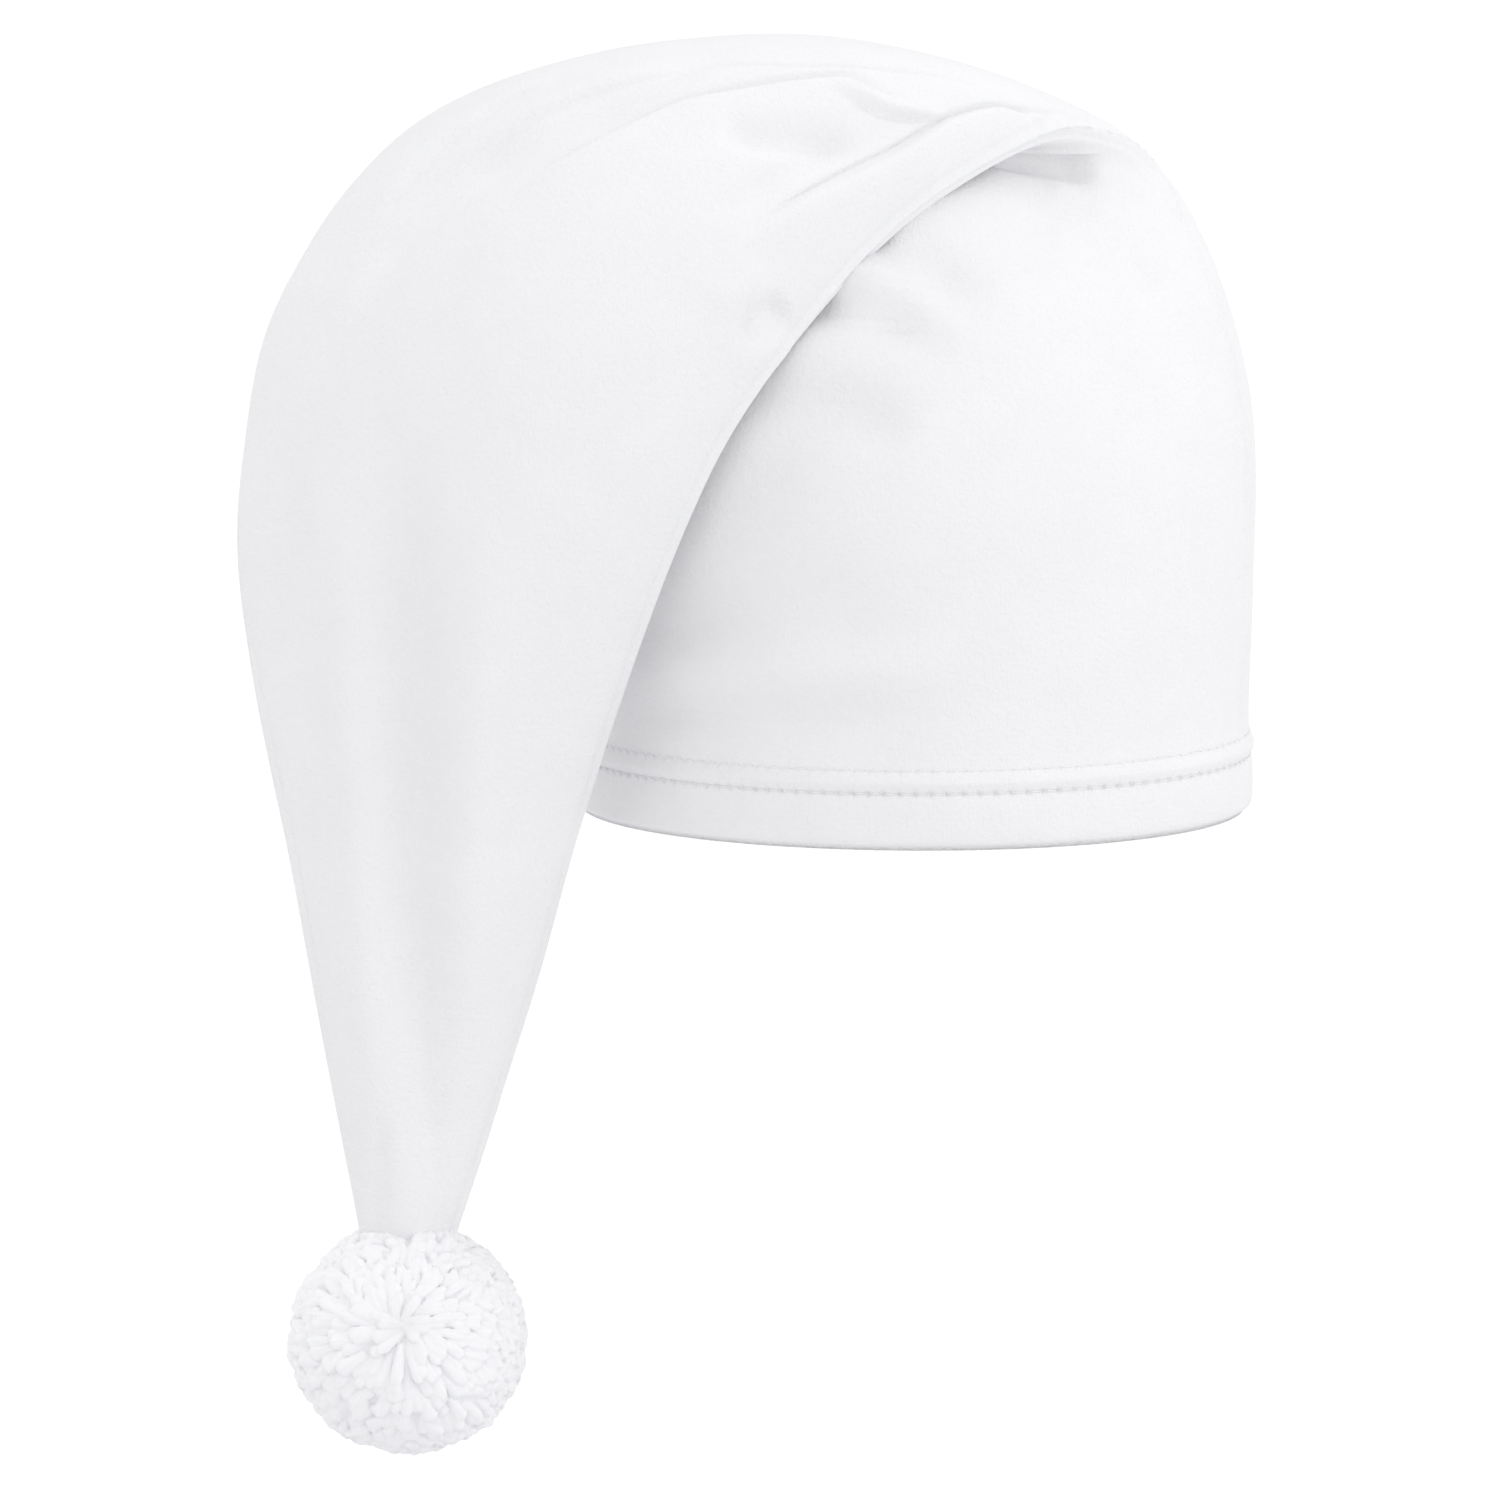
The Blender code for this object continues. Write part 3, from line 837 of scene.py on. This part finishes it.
# Soft acrylic yarn, matte with loose fibres. Light goes a little way into it, so its hollows stay
# bright.
def yarn():
    material, shader = new_material("soft_acrylic_yarn")
    weave = add_node(material, "ShaderNodeUVMap", {"uv_map": "UVMap"})
    stretch = add_node(
        material,
        "ShaderNodeMapping",
        {},
        {"Scale": (260.0, 9.0, 1.0)},
        {"Vector": weave.outputs["UV"]},
    )
    fibres = add_node(
        material,
        "ShaderNodeTexNoise",
        {},
        {"Scale": 1.0, "Detail": 2.0, "Roughness": 0.6},
        {"Vector": stretch.outputs["Vector"]},
    )
    place = add_node(material, "ShaderNodeTexCoord")
    fuzz = add_node(
        material,
        "ShaderNodeTexNoise",
        {},
        {"Scale": 1200.0, "Detail": 2.0},
        {"Vector": place.outputs["Object"]},
    )
    shade = add_node(material, "ShaderNodeValToRGB", {}, {}, {"Fac": fibres.outputs["Fac"]})
    shade.color_ramp.elements[0].position = 0.25
    shade.color_ramp.elements[0].color = to_linear("#F0F0F3")
    shade.color_ramp.elements[1].position = 0.75
    shade.color_ramp.elements[1].color = to_linear("#F5F5F7")
    strands = add_node(
        material,
        "ShaderNodeBump",
        {},
        {"Strength": 0.5, "Distance": 0.0003},
        {"Height": fibres.outputs["Fac"]},
    )
    nap = add_node(
        material,
        "ShaderNodeBump",
        {},
        {"Strength": 0.3, "Distance": 0.0003},
        {"Height": fuzz.outputs["Fac"], "Normal": strands.outputs["Normal"]},
    )
    finish_material(
        material,
        shader,
        shade.outputs["Color"],
        nap.outputs["Normal"],
        Roughness=0.95,
        IOR=1.45,
        Specular_IOR_Level=0.2,
        Sheen_Weight=0.1,
        Subsurface_Weight=0.25,
        Subsurface_Radius=(1.0, 1.0, 1.0),
        Subsurface_Scale=0.002,
    )
    return material


def spread_directions(count):
    """Directions spread evenly over a ball, along a spiral from its top."""
    golden_turn = math.pi * (3 - math.sqrt(5))
    for number in range(count):
        height = 1 - 2 * (number + 0.5) / count
        ring = math.sqrt(1 - height * height)
        turn = golden_turn * number
        yield Vector((ring * math.cos(turn), ring * math.sin(turn), height))


def raise_lock(heights, spots, levels, middle, lean, size):
    """Lays one lock of yarn on the ball: low at its root, and thick and rounded at its free end."""
    length, width, base, rise, lift = size
    reach = length / POMPOM_RADIUS
    turn = math.acos(middle @ PARTING)
    ends = math.cos(min(math.pi, turn + reach)), math.cos(max(0, turn - reach))
    near = slice(*np.searchsorted(levels, ends))
    offset = (spots[near] - middle) * POMPOM_RADIUS
    along = offset @ lean / length
    across = offset @ np.cross(middle, lean) / (width / 2)
    taper = ROOT_WIDTH + WIDENING * np.clip(along + 0.5, 0, 1)
    tip = np.clip((along - ROUNDED_FROM) / ROUNDED_OVER, 0, None)
    round_shape = 1 - (across / taper) ** 2 - tip**2
    covered = (round_shape > 0) & (along > -0.5) & (spots[near] @ middle > 0)
    level = base + (along + 0.5) * rise + lift * np.sqrt(np.clip(round_shape, 0, 1))
    heights[near] = np.where(covered, np.maximum(heights[near], level), heights[near])


rng = random.Random(SEED)
noise.seed_set(SEED)
bm = start_mesh()
ball = bmesh.ops.create_uvsphere(
    bm, u_segments=BALL_MERIDIANS, v_segments=BALL_RINGS, radius=1, calc_uvs=True
)
turned = PARTING.to_track_quat("Z", "Y").to_matrix()
points = sorted(ball["verts"], key=lambda vert: vert.co.z)
spots = np.array([turned @ vert.co for vert in points])
levels = spots @ PARTING
heights = np.full(len(spots), LEAST_HEIGHT)
for number, direction in enumerate(spread_directions(LOCKS)):
    loose = Vector([rng.uniform(-1, 1) for axis in range(3)])
    direction = (direction + loose * LOOSENESS).normalized()
    border = COARSE_FROM + COARSE_BORDER * noise.noise(direction * BORDER_PITCH)
    coarse = direction.dot(COARSE_SIDE) > border
    if coarse and number % 2:
        continue
    towards_parting = direction.dot(PARTING)
    away = direction - PARTING * towards_parting
    wander = noise.noise_vector(direction * WANDER_PITCH) * WANDER + loose * STRAY
    lean = away.normalized() + wander * (COARSE_WANDER if coarse else 1)
    lean = (lean - direction * lean.dot(direction)).normalized()
    flatness = abs(towards_parting) ** FORESHORTENING
    least_length, longer, *spans = COARSE_LOCK if coarse else FINE_LOCK
    length = least_length + rng.uniform(*longer) * flatness
    base, rise, lift, width = [rng.uniform(*span) for span in spans]
    size = (length, width, base, rise, lift)
    if direction.z > NECK_HEIGHT:
        length, width, rise, lift = NECK_LOCK
        size = (length, width, rng.uniform(*NECK_ROOT), rise, lift)
    raise_lock(heights, spots, levels, np.array(direction), np.array(lean), size)
places = np.array(POMPOM_CENTRE) + spots * (CORE_RADIUS + heights)[:, None]
places[:, 2] += np.maximum(POMPOM_CENTRE.z - places[:, 2], 0) * LOWER_SQUASH
for vert, place in zip(points, places):
    vert.co = Vector(place) * MM
pompom = new_piece("pompom_yarn", bm, yarn())
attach(pompom, "root")
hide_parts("pompom")

# The photograph's setting: white paper under the cap and behind it, with shade painted on it near
# the cap, lit softly from above and from all around, and a little stronger from the right. Its
# lengths are in metres.

FLOOR_DROP = 0.42
FLOOR_SIZE = 30
# The paper's grey near the cap is painted shade: darkest within the first distance, gone past the
# second.
PAINTED_SHADE_REACH = 0.5  # the paper is greyest within this of the cap, and white past the next
WHITE_FLOOR = 1.1
LIT_SPOT = (0, 0, 0.05)  # where the lights point


# Matte white background paper. Its colour is painted greyer near the cap as painted shade, and it
# is plain white farther off.
def paper():
    material, shader = new_material("white_background_paper")
    place = add_node(material, "ShaderNodeTexCoord")
    grain = add_node(
        material,
        "ShaderNodeTexNoise",
        {},
        {"Scale": 400.0, "Detail": 2.0},
        {"Vector": place.outputs["Object"]},
    )
    distance = add_node(
        material,
        "ShaderNodeVectorMath",
        {"operation": "LENGTH"},
        {},
        {"Vector": place.outputs["Object"]},
    )
    far = add_node(
        material,
        "ShaderNodeMapRange",
        {},
        {"From Min": PAINTED_SHADE_REACH, "From Max": WHITE_FLOOR},
        {"Value": distance.outputs["Value"]},
    )
    # Painted shade: the paper's colour goes from grey near the cap to white farther off.
    shade = add_node(material, "ShaderNodeValToRGB", {}, {}, {"Fac": far.outputs["Result"]})
    shade.color_ramp.elements[0].color = to_linear("#DEDEE0")
    shade.color_ramp.elements[1].color = to_linear("#FFFFFF")
    bump = add_node(
        material,
        "ShaderNodeBump",
        {},
        {"Strength": 0.05, "Distance": 0.0002},
        {"Height": grain.outputs["Fac"]},
    )
    finish_material(
        material,
        shader,
        shade.outputs["Color"],
        bump.outputs["Normal"],
        Roughness=0.9,
    )
    return material


bm = start_mesh()
bmesh.ops.create_grid(bm, x_segments=1, y_segments=1, size=FLOOR_SIZE, calc_uvs=True)
bmesh.ops.translate(bm, verts=bm.verts, vec=(0, 0, -FLOOR_DROP))
floor = new_piece("background_paper", bm, paper())


def add_light(name, kind, place, power, **settings):
    """A light that points at the cap."""
    light = bpy.data.lights.new(name, kind)
    light.energy = power
    for setting, value in settings.items():
        setattr(light, setting, value)
    lamp = bpy.data.objects.new(name, light)
    lamp.location = place
    lamp.rotation_euler = (Vector(LIT_SPOT) - Vector(place)).to_track_quat("-Z", "Y").to_euler()
    bpy.context.scene.collection.objects.link(lamp)


add_light("ceiling_light", "SUN", (0, 0.3, 3), 0.59, angle=math.radians(70))
add_light("key_softbox", "AREA", (1.805, -1.042, 0.972), 6.0, size=1.2)

# The studio's walls are brighter on the camera's side than behind the cap.
FRONT_LIGHT = 0.99
BACK_LIGHT = 0.78
WALL_BLEND = 0.7  # from this far to the front to this far to the back

world = bpy.data.worlds.new("studio")
world.use_nodes = True
sky = world.node_tree.nodes["Background"]
sky.inputs["Color"].default_value = (1.0, 1.0, 1.0, 1.0)
towards = add_node(world, "ShaderNodeTexCoord")
parts = add_node(world, "ShaderNodeSeparateXYZ", {}, {}, {"Vector": towards.outputs["Generated"]})
level = add_node(
    world,
    "ShaderNodeMapRange",
    {},
    {
        "From Min": -WALL_BLEND,
        "From Max": WALL_BLEND,
        "To Min": FRONT_LIGHT,
        "To Max": BACK_LIGHT,
    },
    {"Value": parts.outputs["Y"]},
)
world.node_tree.links.new(level.outputs["Result"], sky.inputs["Strength"])
bpy.context.scene.world = world
bpy.context.scene.view_settings.view_transform = "Standard"
bpy.context.scene.view_settings.look = "None"

# The camera: where it must have stood for the photograph, in front of the cap and a little above
# it, with a long lens.

SENSOR = 36

lens = bpy.data.cameras.new("photo_camera")
lens.sensor_width = SENSOR
lens.lens = SENSOR * CAMERA_DISTANCE / (PHOTO_SIDE * PIXEL)
camera = bpy.data.objects.new("photo_camera", lens)
camera_turn = Matrix((photo_right, photo_up, -photo_ahead)).transposed()
camera.matrix_world = Matrix.Translation(camera_place * MM) @ camera_turn.to_4x4()
bpy.context.scene.collection.objects.link(camera)
bpy.context.scene.camera = camera
